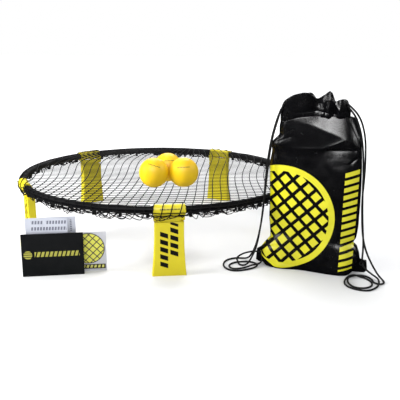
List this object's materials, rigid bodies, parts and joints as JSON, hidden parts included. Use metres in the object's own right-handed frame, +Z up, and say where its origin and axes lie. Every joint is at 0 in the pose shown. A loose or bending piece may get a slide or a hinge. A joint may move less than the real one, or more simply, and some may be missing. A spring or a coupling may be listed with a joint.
{
  "type": "roundnet set",
  "caption": "Roundnet set: a low ring with a hooked net on folding legs, with balls on the net, a drawstring bag shut by its cords, a card, a folded leaflet and a sticker sheet.",
  "frame": {"origin": "on the floor, in the middle of the whole set's footprint; the ring's axis stands at (-0.0443, 0.0153)", "axes": "+Z up, the front leg towards -Y, the bag on the +X side in front"},
  "size_m": [1.0315, 1.0596, 0.492],
  "materials": {
    "black_tube": "fine moulded grain, satin",
    "yellow_plastic": "fine moulded grain, satin",
    "pin_steel": "satin",
    "net_cord": "braided polyester cord",
    "ball_rubber": "lightly pebbled, satin",
    "valve_rubber": "matt",
    "bag_fabric": "coated woven polyester, glossy",
    "eyelet_metal": "satin black",
    "bag_cord": "braided polyester cord",
    "card_stock": "coated card",
    "leaflet_paper": "uncoated paper",
    "sticker_paper": "glossy label stock"
  },
  "bodies": {
    "frame": {"rim_tube_1": "black_tube", "rim_tube_2": "black_tube", "rim_tube_3": "black_tube", "rim_tube_4": "black_tube", "rim_tube_5": "black_tube", "socket_front": "yellow_plastic", "socket_right": "yellow_plastic", "socket_back_right": "yellow_plastic", "socket_back_left": "yellow_plastic", "socket_left": "yellow_plastic", "hinge_pin_front": "pin_steel", "hinge_pin_right": "pin_steel", "hinge_pin_back_right": "pin_steel", "hinge_pin_back_left": "pin_steel", "hinge_pin_left": "pin_steel", "net": "net_cord", "net_hem": "net_cord", "net_hooks": "black_tube"},
    "leg_front": {"leg_front": "yellow_plastic"},
    "leg_right": {"leg_right": "yellow_plastic"},
    "leg_back_right": {"leg_back_right": "yellow_plastic"},
    "leg_back_left": {"leg_back_left": "yellow_plastic"},
    "leg_left": {"leg_left": "yellow_plastic"},
    "ball_1": {"ball_1": "ball_rubber", "ball_valve_1": "valve_rubber"},
    "ball_2": {"ball_2": "ball_rubber", "ball_valve_2": "valve_rubber"},
    "ball_3": {"ball_3": "ball_rubber", "ball_valve_3": "valve_rubber"},
    "bag": {"bag_body": "bag_fabric", "bag_gather": "bag_fabric", "bag_tab_left": "bag_fabric", "bag_tab_right": "bag_fabric", "eyelet_left": "eyelet_metal", "eyelet_right": "eyelet_metal", "cord_left_outer": "bag_cord", "cord_left_inner": "bag_cord", "cord_right_outer": "bag_cord", "cord_right_inner": "bag_cord", "cord_left_tail": "bag_cord", "cord_left_end": "bag_cord", "cord_right_end": "bag_cord", "cord_coil_left": "bag_cord", "cord_coil_right": "bag_cord"},
    "rules_card": {"rules_card": "card_stock"},
    "leaflet_front": {"leaflet_front": "leaflet_paper"},
    "leaflet_back": {"leaflet_back": "leaflet_paper"},
    "sticker_sheet": {"sticker_sheet": "sticker_paper"}
  },
  "joints": [
    {"name": "leg_front_fold", "type": "hinge", "parent": "frame", "child": "leg_front", "pos_m": [-0.0443, -0.4197, 0.164], "axis": [1, 0, 0], "range_deg": [0, 90]},
    {"name": "leg_right_fold", "type": "hinge", "parent": "frame", "child": "leg_right", "pos_m": [0.36941, -0.11912, 0.164], "axis": [0.309, 0.9511, 0], "range_deg": [0, 90]},
    {"name": "leg_back_right_fold", "type": "hinge", "parent": "frame", "child": "leg_back_right", "pos_m": [0.21139, 0.36722, 0.164], "axis": [-0.809, 0.5878, 0], "range_deg": [0, 90]},
    {"name": "leg_back_left_fold", "type": "hinge", "parent": "frame", "child": "leg_back_left", "pos_m": [-0.29999, 0.36722, 0.164], "axis": [-0.809, -0.5878, 0], "range_deg": [0, 90]},
    {"name": "leg_left_fold", "type": "hinge", "parent": "frame", "child": "leg_left", "pos_m": [-0.45801, -0.11912, 0.164], "axis": [0.309, -0.9511, 0], "range_deg": [0, 90]},
    {"name": "ball_1_lift", "type": "slide", "parent": "frame", "child": "ball_1", "axis": [0, 0, 1], "range_m": [0, 0.3]},
    {"name": "ball_2_lift", "type": "slide", "parent": "frame", "child": "ball_2", "axis": [0, 0, 1], "range_m": [0, 0.3]},
    {"name": "ball_3_lift", "type": "slide", "parent": "frame", "child": "ball_3", "axis": [0, 0, 1], "range_m": [0, 0.3]},
    {"name": "bag_slide", "type": "slide", "parent": "frame", "child": "bag", "axis": [0.9161, -0.4008, 0], "range_m": [0, 0.3]},
    {"name": "card_lift", "type": "slide", "parent": "frame", "child": "rules_card", "axis": [0, 0, 1], "range_m": [0, 0.2]},
    {"name": "leaflet_lift", "type": "slide", "parent": "frame", "child": "leaflet_front", "axis": [0, 0, 1], "range_m": [0, 0.2]},
    {"name": "leaflet_open", "type": "hinge", "parent": "leaflet_front", "child": "leaflet_back", "pos_m": [-0.4268, -0.3859, 0], "axis": [0, 0, 1], "range_deg": [0, 120]},
    {"name": "sticker_slide", "type": "slide", "parent": "frame", "child": "sticker_sheet", "axis": [1, 0, 0], "range_m": [0, 0.1]}
  ]
}
